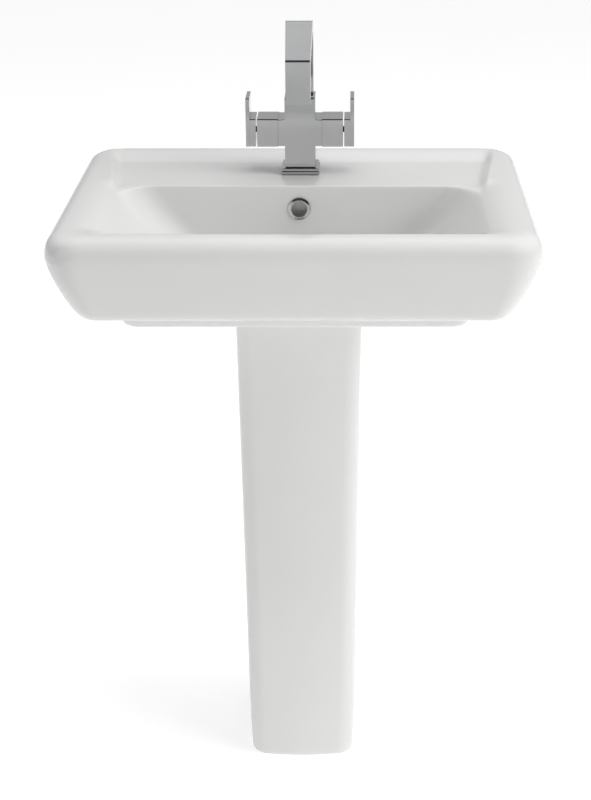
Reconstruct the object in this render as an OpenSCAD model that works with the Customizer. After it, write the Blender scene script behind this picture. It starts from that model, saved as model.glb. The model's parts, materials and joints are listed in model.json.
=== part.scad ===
// Pedestal wash basin with a monobloc mixer tap, waste and bottle trap.
// Units are millimetres. +Z is up, -Y faces the user, and the wall is at the basin's back.
// The origin lies on the floor, under the middle of the basin's outline.

/* [Basin] */
// Overall width of the basin
basin_w = 606; // [596:2:640]
// Overall depth of the basin, front to wall
basin_d = 460; // [455:1:475]
// Height of the tap ledge above the floor
ledge_z = 798; // [760:1:840]
// How far the rolled rim stands above the ledge
rim_rise = 8; // [5:1:12]
// Half width of the bowl opening at the ledge
bowl_hw = 240; // [225:1:243]
// Distance from the basin's middle to the bowl's rear wall
bowl_back = 52; // [50:1:53]
// Depth of the bowl below the ledge
bowl_depth = 101; // [98:1:102]
// How much the outer sides draw in towards the wall, as a share of the width
rear_taper = 0.021; // [0.01:0.001:0.04]
// How much the bowl draws in towards the wall, as a share of the width
bowl_taper = 0.045; // [0.03:0.005:0.06]

/* [Pedestal] */
// Half width of the pedestal at the top
ped_top_hw = 83; // [79:1:90]
// Half width of the pedestal at the floor
ped_foot_hw = 72; // [68:1:84]
// Front face of the pedestal, measured from the basin's middle
ped_front = -50; // [-56:1:-46]
// Back edge of the pedestal's side walls
ped_back = 142; // [120:1:180]
// Wall thickness of the pedestal
ped_wall = 10; // [8:1:11]

/* [Tap] */
// Distance of the tap's axis behind the basin's middle
tap_y = 132; // [128:1:136]
// Side of the square base plate
base_side = 52; // [50:1:56]
// Width of the square column
col_w = 41; // [38:1:44]
// Front to back size of the column
col_d = 44; // [40:1:46]
// Height of the column above the ledge
col_top = 105; // [100:1:112]
// Height of the cross arms, top to bottom
arm_h = 36.6; // [34:0.2:40]
// Height of the handle axis above the ledge
axis_h = 57.7; // [56:0.1:60]
// Half length of the cross body
arm_hw = 29.5; // [28:0.5:31]
// Outer end of each valve housing
housing_end = 57.7; // [55:0.1:58]
// Outer face of each lever plate
lever_out = 72.8; // [72:0.1:76]
// Height of the lever plates above the ledge
lever_top = 105; // [98:1:108]

/* [Spout] */
// Width of the spout's flat band at its foot
spout_w = 36.4; // [35:0.2:38]
// Width of the band at the front leg
spout_front_w = 32.4; // [30:0.2:34]
// Thickness of the band
spout_t = 14; // [12:0.5:16]
// Reach of the outer face of the front leg from the tap's axis
spout_reach = 97; // [92:1:110]
// Height of the arch's crown above the ledge
spout_top = 209; // [195:1:225]
// Height of the crisp front corner above the ledge
spout_corner = 172; // [166:1:184]
// Height of the outlet above the ledge
spout_out = 114; // [112:1:125]

/* [Hidden] */
$fn = 48;

// Colours for the preview.
c_ceramic = [0.95, 0.95, 0.94];
c_chrome = [0.78, 0.79, 0.80];
c_rubber = [0.13, 0.13, 0.13];
c_plastic = [0.90, 0.90, 0.88];
c_brass = [0.80, 0.66, 0.36];
c_steel = [0.62, 0.63, 0.65];

// Outer levels of the basin, all measured from the ledge.
hw = basin_w / 2;
hd = basin_d / 2;
rim_z = ledge_z + rim_rise;
skirt_z = ledge_z - 96;
overflow_z = ledge_z - 31;
plinth_z = ledge_z - 122;
floor_z = ledge_z - bowl_depth;
deck_t = 13;

// Pedestal levels.
gasket_t = 2;
ped_top = plinth_z - gasket_t;

// Waste: the middle of the plug lies on the basin's own middle line.
waste_y = 0;
waste_hole_r = 22.5;
waste_tube_r = 21.5;
waste_tube_in = 18.8;
waste_low = plinth_z - 40;

// Bottle trap.
trap_r = 27;
trap_top = waste_low - 2;
trap_low = trap_top - 70;
cup_low = trap_low - 62;
outlet_z = trap_top - 28;
pipe_r = 16;

// Heights on the tap, measured from the floor.
seal_t = 1;
plate_z = ledge_z + seal_t;
col_z = plate_z + 8;
foot_seal_t = 1.6;
tap_top = ledge_z + col_top;
axis_z = ledge_z + axis_h;
spigot_r = 11;
stud_r = 15;

// ---- helpers -------------------------------------------------------------

// Points of one rounded rectangle, anticlockwise, n steps in each corner.
// w is the half width, f and b the front and back, rf and rb the corner radii.
function ring(w, f, b, rf, rb, n) = concat(
    [for (i = [0:n]) [w - rf + rf * sin(90 * i / n), f + rf - rf * cos(90 * i / n)]],
    [for (i = [0:n]) [w - rb + rb * cos(90 * i / n), b - rb + rb * sin(90 * i / n)]],
    [for (i = [0:n]) [-w + rb - rb * sin(90 * i / n), b - rb + rb * cos(90 * i / n)]],
    [for (i = [0:n]) [-w + rf - rf * cos(90 * i / n), f + rf - rf * sin(90 * i / n)]]
);

// Behind the front corners the width narrows evenly towards the wall.
function draw_in(p, t) = [p[0] * (1 - t * max(0, p[1] + hd - 44) / (basin_d - 44)), p[1]];

// Quads between ring k and ring k + 1, split into triangles.
function skin(k, m) = [
    for (j = [0:m - 1])
        for (t = [0:1])
            let (a = k * m + j, b = k * m + (j + 1) % m)
                t == 0 ? [a, b + m, b] : [a, a + m, b + m]
];

// A closed solid through rings listed from the bottom up as [z, w, f, b, rf, rb].
module loft(rings, n = 4, taper = rear_taper) {
    m = 4 * (n + 1);
    last = len(rings) - 1;
    flat = [for (r = rings) ring(r[1], r[2], r[3], r[4], r[5], n)];
    pts = [
        for (k = [0:last])
            for (p = flat[k])
                let (q = draw_in(p, taper))
                    [q[0], q[1], rings[k][0]]
    ];
    sides = [for (k = [0:last - 1]) for (f = skin(k, m)) f];
    low = [[for (j = [0:m - 1]) j]];
    high = [[for (j = [0:m - 1]) last * m + m - 1 - j]];
    polyhedron(points = pts, faces = concat(sides, low, high));
}

// A block centred in x and y, standing on z.
module block(x, y, z, h) {
    translate([-x / 2, -y / 2, z])
        cube([x, y, h]);
}

// A block with a small chamfer round its top edge.
module capped(x, y, z, h, c) {
    block(x, y, z, h - c);
    translate([0, 0, z + h - c])
        polyhedron(
            points = [
                [-x / 2, -y / 2, 0], [x / 2, -y / 2, 0], [x / 2, y / 2, 0], [-x / 2, y / 2, 0],
                [-x / 2 + c, -y / 2 + c, c], [x / 2 - c, -y / 2 + c, c],
                [x / 2 - c, y / 2 - c, c], [-x / 2 + c, y / 2 - c, c]
            ],
            faces = [
                [0, 1, 2, 3], [7, 6, 5, 4],
                [0, 4, 5, 1], [1, 5, 6, 2], [2, 6, 7, 3], [3, 7, 4, 0]
            ]
        );
}

module tube(z, h, r_out, r_in) {
    difference() {
        translate([0, 0, z])
            cylinder(h = h, r = r_out);
        translate([0, 0, z - 1])
            cylinder(h = h + 2, r = r_in);
    }
}

// A cylinder lying along +X from x0.
module rod_x(x0, l, r) {
    translate([x0, 0, 0])
        rotate([0, 90, 0])
            cylinder(h = l, r = r);
}

// A cylinder lying along +Y from y0.
module rod_y(y0, l, r) {
    translate([0, y0, 0])
        rotate([-90, 0, 0])
            cylinder(h = l, r = r);
}

// Puts its children on the handle axis, on the cold side or mirrored to the hot side.
module on_axis(hot) {
    translate([0, tap_y, axis_z])
        mirror([hot ? 1 : 0, 0, 0])
            children();
}

// ---- ceramic -------------------------------------------------------------

module basin() {
    color(c_ceramic)
        difference() {
            basin_outside();
            basin_bowl();
            ledge_recess();
            tap_space();
            side_space();
            mirror([1, 0, 0])
                side_space();
            overflow_channel();
            translate([0, waste_y, plinth_z - 1])
                cylinder(h = 60, r = waste_hole_r);
            translate([0, tap_y, ledge_z - 40])
                cylinder(h = 60, r = stud_r + 2);
            for (x = [-140, 140])
                translate([x, 0, ledge_z - 62])
                    rod_y(hd - 30, 40, 7);
        }
}

module basin_outside() {
    loft([
        [plinth_z, hw - 92, 6 - 167, hd, 18, 4],
        [plinth_z + 2, hw - 88, 2 - 167, hd, 22, 4],
        [plinth_z + 6, hw - 86, -167, hd, 24, 4],
        [skirt_z + 1, hw - 82, -168, hd, 24, 6],
        [skirt_z, hw - 60, 24 - hd, hd, 14, 12],
        [skirt_z + 1.5, hw - 48, 14 - hd, hd, 18, 18],
        [skirt_z + 6, hw - 39, 9.5 - hd, hd, 22, 22],
        [skirt_z + 13, hw - 32, 7 - hd, hd, 27, 26],
        [skirt_z + 23, hw - 24.5, 4.8 - hd, hd, 31, 30],
        [skirt_z + 39, hw - 14.5, 2.3 - hd, hd, 36, 36],
        [skirt_z + 57, hw - 5, 0.6 - hd, hd, 41, 40],
        [skirt_z + 73, hw - 0.8, -hd, hd, 43, 42],
        [skirt_z + 84, hw, 0.6 - hd, hd, 43, 42],
        [rim_z - 10, hw - 3, 4 - hd, hd, 42, 41],
        [rim_z - 4, hw - 9, 11 - hd, hd, 40, 38],
        [rim_z - 1, hw - 17, 21 - hd, hd, 36, 34],
        [rim_z, hw - 27, 33 - hd, hd, 30, 30]
    ], 5);
}

module basin_bowl() {
    loft([
        [floor_z, 110, -96, bowl_back - 12, 40, 26],
        [floor_z + 2, 126, -110, bowl_back - 8, 40, 30],
        [floor_z + 7, 140, -122, bowl_back - 4.5, 38, 34],
        [floor_z + 16, 152, -131, bowl_back - 2, 36, 36],
        [floor_z + 30, 165, -139, bowl_back, 34, 38],
        [ledge_z - 30, 208, -160, bowl_back, 34, 42],
        [ledge_z - 2, bowl_hw, -175, bowl_back, 32, 46],
        [ledge_z, bowl_hw + 3, -178, bowl_back + 2, 30, 48],
        [rim_z + 1, bowl_hw + 12, -188, bowl_back + 2, 28, 48]
    ], 5, bowl_taper);
}

// The ledge lies below the rim, between the two side rolls and a low lip at the wall.
module ledge_recess() {
    loft([
        [ledge_z, bowl_hw + 4, -60, hd - 30, 8, 6],
        [ledge_z + 2, bowl_hw + 6, -60, hd - 24, 8, 6],
        [rim_z + 1, bowl_hw + 12, -60, hd - 6, 8, 6]
    ], 2, 0);
}

// Open space under the ledge, for the tap's nut and the wall bolts.
module tap_space() {
    loft([
        [plinth_z - 1, 190, 84, hd - 13, 12, 12],
        [skirt_z + 4, 190, 84, hd - 13, 12, 12],
        [ledge_z - 60, 205, 82, hd - 13, 12, 12],
        [ledge_z - deck_t, 215, 82, hd - 13, 12, 12]
    ], 2);
}

// Open space between one side wall of the bowl and the outer skin.
module side_space() {
    side_w = [[plinth_z - 1, 186, 200], [skirt_z + 4, 187, 204], [skirt_z + 16, 190, 250],
        [ledge_z - 55, 211, 270], [ledge_z - 30, 237, 278], [ledge_z - 16, 257, 278]];
    m = 4;
    pts = [
        for (s = side_w)
            for (p = [[s[1], -136], [s[2], -136], [s[2], 66], [s[1], 66]])
                [draw_in(p, rear_taper)[0], p[1], s[0]]
    ];
    sides = [for (k = [0:len(side_w) - 2]) for (f = skin(k, m)) f];
    low = [[0, 1, 2, 3]];
    high = [[for (j = [0:3]) (len(side_w) - 1) * m + 3 - j]];
    polyhedron(points = pts, faces = concat(sides, low, high));
}

// The overflow runs down behind the bowl's rear wall and forward into the waste hole.
module overflow_channel() {
    translate([0, 0, overflow_z])
        rod_y(bowl_back - 6, 20, 12);
    translate([-18, bowl_back + 11, plinth_z + 6])
        cube([36, 10, 105]);
    translate([-12, 10, plinth_z + 6])
        cube([24, bowl_back + 11, 8]);
}

// The plan of the pedestal, wider at the top, with a slightly bowed front.
function ped_ring(w, f, b, r, n) = concat(
    [for (i = [0:n]) [w - r + r * sin(90 * i / n), f + r - r * cos(90 * i / n)]],
    [[w, b], [-w, b]],
    [for (i = [0:n]) [-w + r - r * cos(90 * i / n), f + r - r * sin(90 * i / n)]],
    [[-w / 2, f - 2.2], [0, f - 3], [w / 2, f - 2.2]]
);

// One closed solid through pedestal rings listed as [z, w, f, b, r].
module ped_loft(rings) {
    n = 5;
    m = 2 * (n + 1) + 5;
    last = len(rings) - 1;
    pts = [
        for (r = rings)
            for (p = ped_ring(r[1], r[2], r[3], r[4], n))
                [p[0], p[1], r[0]]
    ];
    sides = [for (k = [0:last - 1]) for (f = skin(k, m)) f];
    low = [[for (j = [0:m - 1]) j]];
    high = [[for (j = [0:m - 1]) last * m + m - 1 - j]];
    polyhedron(points = pts, faces = concat(sides, low, high));
}

module pedestal() {
    color(c_ceramic) {
        difference() {
            ped_loft([
                [0, ped_foot_hw - 8, ped_front + 7, ped_back - 6, 22],
                [2.5, ped_foot_hw - 4, ped_front + 3, ped_back - 2.5, 25],
                [10, ped_foot_hw - 1.2, ped_front + 0.6, ped_back, 26],
                [50, ped_foot_hw + 0.4, ped_front, ped_back, 26],
                [ped_top - 8, ped_top_hw, ped_front, ped_back, 24],
                [ped_top - 2, ped_top_hw - 1, ped_front + 1, ped_back - 0.5, 24],
                [ped_top, ped_top_hw - 4, ped_front + 4, ped_back - 3, 22]
            ]);
            ped_loft([
                [-1, ped_foot_hw - ped_wall, ped_front + ped_wall, ped_back - ped_wall, 16],
                [ped_top + 1, ped_top_hw - ped_wall, ped_front + ped_wall, ped_back - ped_wall, 14]
            ]);
            translate([-ped_foot_hw + 22, ped_back - 30, -1])
                cube([2 * ped_foot_hw - 44, 40, ped_top + 2]);
        }
        for (s = [-1, 1])
            difference() {
                translate([s * (ped_foot_hw - 20) - 13, ped_back - 62, 0])
                    cube([26, 44, 14]);
                translate([s * (ped_foot_hw - 22), ped_back - 40, -1])
                    cylinder(h = 20, r = 3.5);
            }
    }
}

// Thin rubber strip between the pedestal's top edge and the plinth.
module pedestal_gasket() {
    color(c_rubber)
        difference() {
            ped_loft([
                [ped_top, ped_top_hw - 5, ped_front + 5, ped_back - 4, 21],
                [plinth_z, ped_top_hw - 5, ped_front + 5, ped_back - 4, 21]
            ]);
            ped_loft([
                [ped_top - 1, ped_top_hw - 9, ped_front + 9, ped_back - 9, 16],
                [plinth_z + 1, ped_top_hw - 9, ped_front + 9, ped_back - 9, 16]
            ]);
            translate([-ped_foot_hw + 22, ped_back - 30, ped_top - 1])
                cube([2 * ped_foot_hw - 44, 40, gasket_t + 2]);
        }
}

module overflow_ring() {
    color(c_chrome)
        translate([0, 0, overflow_z])
            difference() {
                union() {
                    rod_y(bowl_back - 3, 3, 15.4);
                    rod_y(bowl_back - 3.6, 0.7, 14.4);
                    rod_y(bowl_back - 1, 10, 11.9);
                }
                rod_y(bowl_back - 5, 20, 10.2);
            }
}

// ---- waste ---------------------------------------------------------------

module waste_flange() {
    color(c_chrome)
        translate([0, waste_y, 0])
            difference() {
                union() {
                    translate([0, 0, floor_z + 1])
                        cylinder(h = 1.6, r1 = 31, r2 = 30);
                    translate([0, 0, waste_low])
                        cylinder(h = floor_z + 2 - waste_low, r = waste_tube_r);
                }
                translate([0, 0, waste_low - 1])
                    cylinder(h = floor_z + 6 - waste_low, r = waste_tube_in);
                translate([-10, -30, plinth_z + 5])
                    cube([20, 60, 10]);
            }
}

module waste_top_seal() {
    color(c_rubber)
        translate([0, waste_y, 0])
            tube(floor_z, 1, 29.5, waste_hole_r + 0.5);
}

module waste_bottom_seal() {
    color(c_rubber)
        translate([0, waste_y, 0])
            tube(plinth_z - 4, 4, 31, waste_tube_r + 0.05);
}

module waste_backnut() {
    color(c_brass)
        translate([0, waste_y, plinth_z - 13])
            difference() {
                cylinder(h = 9, r = 32, $fn = 6);
                translate([0, 0, -1])
                    cylinder(h = 11, r = waste_tube_r + 0.05);
            }
}

// Spider inside the tube that guides the plug's stem.
module plug_guide() {
    color(c_plastic)
        translate([0, waste_y, plinth_z - 24]) {
            tube(0, 12, waste_tube_in - 0.05, 16.8);
            tube(0, 12, 7, 4.05);
            for (a = [0, 120, 240])
                rotate([0, 0, a])
                    translate([6, -1.2, 0])
                        cube([11, 2.4, 12]);
        }
}

module waste_plug() {
    color(c_chrome)
        translate([0, waste_y, 0]) {
            translate([0, 0, floor_z + 3])
                cylinder(h = 2.4, r1 = 29.4, r2 = 28.6);
            translate([0, 0, floor_z + 5.4])
                cylinder(h = 1.4, r1 = 28.6, r2 = 23);
            translate([0, 0, floor_z - 2])
                cylinder(h = 5, r = 15);
            translate([0, 0, plinth_z - 27])
                cylinder(h = floor_z - plinth_z + 27, r = 4);
        }
}

// ---- bottle trap ---------------------------------------------------------

module trap_inlet_nut() {
    color(c_plastic)
        translate([0, waste_y, 0]) {
            tube(trap_top - 4, 20, 29, waste_tube_r + 0.2);
            for (i = [0:23])
                rotate([0, 0, 15 * i])
                    translate([28.6, -1, trap_top])
                        cube([1.6, 2, 14]);
        }
}

module trap_inlet_seal() {
    color(c_rubber)
        translate([0, waste_y, 0])
            tube(trap_top - 4, 6, waste_tube_r, waste_tube_in);
}

module trap_body() {
    color(c_plastic)
        translate([0, waste_y, 0]) {
            difference() {
                union() {
                    translate([0, 0, trap_low])
                        cylinder(h = trap_top - 4 - trap_low, r = trap_r);
                    translate([0, 0, outlet_z])
                        rod_y(10, 44, 19);
                }
                translate([0, 0, trap_low - 1])
                    cylinder(h = trap_top - 7 - trap_low, r = trap_r - 3);
                translate([0, 0, outlet_z])
                    rod_y(18, 50, 16.2);
                translate([0, 0, trap_top - 12])
                    cylinder(h = 20, r = 13.5);
            }
            tube(trap_low - 34, trap_top - 5 - trap_low + 34, 16, 13.5);
        }
}

module trap_cup_seal() {
    color(c_rubber)
        translate([0, waste_y, 0])
            tube(trap_low - 2, 2, trap_r, 23);
}

module trap_cup() {
    color(c_plastic)
        translate([0, waste_y, 0]) {
            difference() {
                union() {
                    translate([0, 0, cup_low + 8])
                        cylinder(h = 54, r = 25.5);
                    translate([0, 0, cup_low])
                        cylinder(h = 8, r1 = 18, r2 = 25.5);
                    translate([0, 0, trap_low - 14])
                        cylinder(h = 28, r = 31);
                }
                translate([0, 0, cup_low + 4])
                    cylinder(h = 6.1, r1 = 17.5, r2 = 22.5);
                translate([0, 0, cup_low + 10])
                    cylinder(h = 56, r = 22.5);
                translate([0, 0, trap_low - 2])
                    cylinder(h = 20, r = trap_r + 0.1);
            }
            for (i = [0:17])
                rotate([0, 0, 20 * i])
                    translate([30.6, -1.2, trap_low - 12])
                        cube([1.6, 2.4, 24]);
        }
}

module trap_outlet_nut() {
    color(c_plastic)
        translate([0, waste_y, outlet_z])
            difference() {
                union() {
                    rod_y(40, 26, 23);
                    for (i = [0:17])
                        rotate([0, 20 * i, 0])
                            translate([22.6, 42, -1])
                                cube([1.6, 20, 2]);
                }
                rod_y(39, 17.2, 19.1);
                rod_y(50, 20, pipe_r);
            }
}

module trap_outlet_seal() {
    color(c_rubber)
        translate([0, waste_y, outlet_z])
            difference() {
                rod_y(54, 2, 18.8);
                rod_y(53, 4, pipe_r - 0.15);
            }
}

module trap_outlet_pipe() {
    color(c_plastic)
        translate([0, 0, outlet_z])
            difference() {
                union() {
                    rod_y(waste_y + 30, 50, pipe_r - 0.2);
                    rod_y(waste_y + 70, hd - waste_y - 70, pipe_r);
                }
                rod_y(waste_y + 29, hd - waste_y - 20, pipe_r - 2);
            }
}

// ---- tap: fixed parts ----------------------------------------------------

module tap_base_seal() {
    color(c_rubber)
        translate([0, tap_y, 0])
            difference() {
                block(base_side - 3, base_side - 3, ledge_z, seal_t);
                translate([0, 0, ledge_z - 1])
                    cylinder(h = 4, r = stud_r + 0.5);
            }
}

module tap_base_plate() {
    color(c_chrome)
        translate([0, tap_y, 0])
            difference() {
                union() {
                    capped(base_side, base_side, plate_z, 4.2, 0.6);
                    capped(base_side - 3, base_side - 3, plate_z + 4.2, 3.8, 0.6);
                }
                translate([0, 0, plate_z - 1])
                    cylinder(h = 20, r = stud_r + 0.05);
            }
}

// Rubber ring that shows as a thin dark line under the column.
module tap_foot_seal() {
    color(c_rubber)
        translate([0, tap_y, 0])
            difference() {
                block(col_w - 1.6, col_d - 1.6, col_z, foot_seal_t);
                translate([0, 0, col_z - 1])
                    cylinder(h = foot_seal_t + 2, r = stud_r + 0.5);
            }
}

module tap_body() {
    color(c_chrome)
        difference() {
            translate([0, tap_y, 0])
                union() {
                    capped(col_w, col_d, col_z + foot_seal_t, tap_top - col_z - foot_seal_t, 0.7);
                    block(2 * arm_hw, col_d, axis_z - arm_h / 2, arm_h);
                }
            translate([0, tap_y, col_z - 1])
                cylinder(h = 24, r = stud_r + 0.05);
            translate([0, tap_y, 0])
                for (x = [-6.5, 6.5])
                    translate([x, 0, col_z])
                        cylinder(h = axis_h - 10, r = 4.25);
            translate([0, tap_y, axis_z]) {
                rod_x(-arm_hw - 1, 2 * arm_hw + 2, 6);
                rod_x(arm_hw - 14, 16, 10.55);
                rod_x(-arm_hw - 2, 16, 10.55);
                cylinder(h = 60, r = 7);
            }
            translate([0, tap_y, tap_top - 26])
                cylinder(h = 30, r = spigot_r + 0.05);
            translate([0, tap_y, tap_top - 14])
                rod_y(0, 40, 2.05);
        }
}

// Threaded hollow stud that pulls the tap down on the ledge.
module tap_shank() {
    color(c_brass)
        translate([0, tap_y, 0])
            tube(ledge_z - 52, col_z + 21 - ledge_z + 52, stud_r, 12.5);
}

module tap_clamp_seal() {
    color(c_rubber)
        translate([0, tap_y, 0])
            tube(ledge_z - deck_t - 3, 3, 25, stud_r + 0.05);
}

module tap_clamp_washer() {
    color(c_steel)
        translate([0, tap_y, 0])
            tube(ledge_z - deck_t - 5, 2, 25, stud_r + 0.05);
}

module tap_backnut() {
    color(c_brass)
        translate([0, tap_y, ledge_z - deck_t - 14])
            difference() {
                cylinder(h = 9, r = 23, $fn = 6);
                translate([0, 0, -1])
                    cylinder(h = 11, r = stud_r + 0.05);
            }
}

module valve_housing(hot) {
    color(c_chrome)
        on_axis(hot)
            difference() {
                translate([arm_hw, -(col_d + 1) / 2, -(arm_h + 1.4) / 2])
                    cube([housing_end - arm_hw, col_d + 1, arm_h + 1.4]);
                rod_x(arm_hw - 1, 22, 12.05);
                rod_x(arm_hw, 40, 7.1);
            }
}

module hot_valve_housing() {
    valve_housing(true);
}

module cold_valve_housing() {
    valve_housing(false);
}

module cartridge(hot) {
    color(c_brass)
        on_axis(hot)
            difference() {
                union() {
                    rod_x(arm_hw - 13.5, 13.5, 10.5);
                    rod_x(arm_hw, 20, 12);
                    rod_x(arm_hw + 19, 7, 7);
                }
                rod_x(arm_hw - 8, 60, 4.05);
            }
}

module hot_cartridge() {
    cartridge(true);
}

module cold_cartridge() {
    cartridge(false);
}

// ---- tap: moving parts ---------------------------------------------------

module spindle(hot) {
    color(c_brass)
        on_axis(hot)
            rod_x(arm_hw - 6, lever_out - 8 - arm_hw + 6, 4);
}

module hot_spindle() {
    spindle(true);
}

module cold_spindle() {
    spindle(false);
}

module handle(hot) {
    block_in = housing_end + 1.6;
    plate_in = lever_out - 5.3;
    low = -(arm_h + 1) / 2;
    color(c_chrome)
        on_axis(hot)
            difference() {
                union() {
                    translate([block_in, -col_d / 2, low])
                        cube([plate_in - block_in + 0.1, col_d, arm_h + 1]);
                    translate([plate_in, -(col_d + 1) / 2, low])
                        cube([5.3, col_d + 1, lever_top - axis_h - low]);
                }
                rod_x(block_in - 1, lever_out - 7.95 - block_in + 1, 4.02);
                translate([block_in + 4, 0, low - 1])
                    cylinder(h = -low + 1, r = 2.02);
            }
}

module hot_handle() {
    handle(true);
}

module cold_handle() {
    handle(false);
}

module grub_screw(hot) {
    color(c_steel)
        on_axis(hot)
            translate([housing_end + 5.6, 0, -12])
                difference() {
                    cylinder(h = 7.8, r = 2);
                    translate([0, 0, -1])
                        cylinder(h = 3, r = 1.1, $fn = 6);
                }
}

module hot_grub_screw() {
    grub_screw(true);
}

module cold_grub_screw() {
    grub_screw(false);
}

// The middle line of the band in the plane of the arch: riser, bend, slope, corner, leg.
bend_r = 18;
drop = spout_corner - spout_top + bend_r + spout_t / 2;
fall = asin((bend_r + spout_t / 2) / norm([drop, spout_reach - bend_r]))
    - atan2(drop, spout_reach - bend_r);
bend_y = bend_r - spout_t / 2;

// Outline of the band at half thickness t, seen from the side, as [forward, up] pairs.
function bend(r) = [for (i = [0:10]) [bend_r - r * cos(i * (90 + fall) / 10),
    spout_top - bend_r - spout_t / 2 + r * sin(i * (90 + fall) / 10)]];
function front_z(t) = spout_top - bend_r - spout_t / 2 + (bend_r + t) * sin(90 + fall)
    - (spout_reach - spout_t / 2 + t - bend_r + (bend_r + t) * cos(90 + fall)) * tan(fall);
function band(t, low, out) = concat(
    [[-t, low]],
    bend(bend_r + t),
    [[spout_reach - spout_t / 2 + t, front_z(t)], [spout_reach - spout_t / 2 + t, out]],
    [[spout_reach - spout_t / 2 - t, out], [spout_reach - spout_t / 2 - t, front_z(-t)]],
    [for (i = [10:-1:0]) bend(bend_r - t)[i]],
    [[t, low]]
);

// Stands a side outline up in the plane of the arch, w wide.
module arch(w, outline) {
    translate([w / 2, tap_y, ledge_z])
        rotate([0, 0, -90])
            rotate([90, 0, 0])
                linear_extrude(height = w)
                    polygon(outline);
}

// Narrows the band evenly from its foot to the front leg.
module band_plan() {
    translate([0, tap_y, ledge_z])
        linear_extrude(height = spout_top + 10)
            polygon([
                [-spout_w / 2, spout_t], [-spout_w / 2, -spout_t],
                [-spout_front_w / 2, spout_t / 2 - spout_reach],
                [-spout_front_w / 2, -spout_reach - 1], [spout_front_w / 2, -spout_reach - 1],
                [spout_front_w / 2, spout_t / 2 - spout_reach],
                [spout_w / 2, -spout_t], [spout_w / 2, spout_t]
            ]);
}

module spout() {
    foot = col_top + 0.3;
    color(c_chrome)
        difference() {
            union() {
                intersection() {
                    arch(spout_w, band(spout_t / 2, foot + 1, spout_out));
                    band_plan();
                }
                translate([0, tap_y, 0])
                    capped(spout_w, spout_w, ledge_z + foot, 3, 0.6);
                translate([0, tap_y, tap_top - 24])
                    cylinder(h = 26, r = spigot_r);
            }
            arch(spout_front_w - 8, band(spout_t / 2 - 3, foot - 2, spout_out - 1));
            translate([0, tap_y, tap_top - 30])
                cylinder(h = 33, r = 4);
            for (z = [6, 19])
                translate([0, tap_y, 0])
                    tube(tap_top - 24 + z - 4, 2.6, spigot_r + 1, spigot_r - 1.8);
            translate([0, tap_y, 0])
                tube(tap_top - 16.4, 4.8, spigot_r + 1, spigot_r - 1.5);
        }
}

module spout_o_rings() {
    color(c_rubber)
        for (z = [6, 19])
            translate([0, tap_y, 0])
                tube(tap_top - 24 + z - 3.9, 2.4, spigot_r - 0.02, spigot_r - 1.75);
}

module spout_grub_screw() {
    color(c_steel)
        translate([0, tap_y, tap_top - 14])
            difference() {
                rod_y(spigot_r - 1.2, 11, 2);
                rod_y(spigot_r + 7, 4, 1.1);
            }
}

module aerator() {
    color(c_plastic)
        translate([0, tap_y - spout_reach + spout_t / 2, ledge_z + spout_out + 0.5])
            difference() {
                block(spout_front_w - 8.2, spout_t - 6.2, 0, 8);
                for (i = [-4:4])
                    translate([2.8 * i - 0.9, -2.6, -1])
                        cube([1.8, 5.2, 10]);
            }
}

basin();
pedestal();
pedestal_gasket();
overflow_ring();
waste_flange();
waste_top_seal();
waste_bottom_seal();
waste_backnut();
plug_guide();
waste_plug();
trap_inlet_nut();
trap_inlet_seal();
trap_body();
trap_cup();
trap_cup_seal();
trap_outlet_nut();
trap_outlet_seal();
trap_outlet_pipe();
tap_base_seal();
tap_base_plate();
tap_foot_seal();
tap_body();
tap_shank();
tap_clamp_seal();
tap_clamp_washer();
tap_backnut();
hot_valve_housing();
cold_valve_housing();
hot_cartridge();
cold_cartridge();
hot_spindle();
cold_spindle();
hot_handle();
cold_handle();
hot_grub_screw();
cold_grub_screw();
spout();
spout_o_rings();
spout_grub_screw();
aerator();
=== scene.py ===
"""Visual model of a pedestal sink with a square cross mixer tap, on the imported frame."""
import json
import math

import bmesh
import bpy
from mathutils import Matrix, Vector


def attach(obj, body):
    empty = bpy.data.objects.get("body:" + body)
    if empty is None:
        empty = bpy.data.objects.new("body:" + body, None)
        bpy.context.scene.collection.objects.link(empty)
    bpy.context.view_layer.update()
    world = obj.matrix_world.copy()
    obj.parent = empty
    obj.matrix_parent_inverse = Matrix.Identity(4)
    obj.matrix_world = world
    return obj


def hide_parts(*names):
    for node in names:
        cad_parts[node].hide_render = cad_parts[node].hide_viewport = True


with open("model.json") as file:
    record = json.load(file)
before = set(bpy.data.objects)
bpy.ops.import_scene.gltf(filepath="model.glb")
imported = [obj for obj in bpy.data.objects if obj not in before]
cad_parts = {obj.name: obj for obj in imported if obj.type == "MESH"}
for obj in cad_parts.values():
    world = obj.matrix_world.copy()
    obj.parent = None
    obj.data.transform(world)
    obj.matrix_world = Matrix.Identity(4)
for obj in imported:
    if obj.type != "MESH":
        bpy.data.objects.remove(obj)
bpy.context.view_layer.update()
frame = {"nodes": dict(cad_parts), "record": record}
nodes = frame["nodes"]
MM = 0.001

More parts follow.
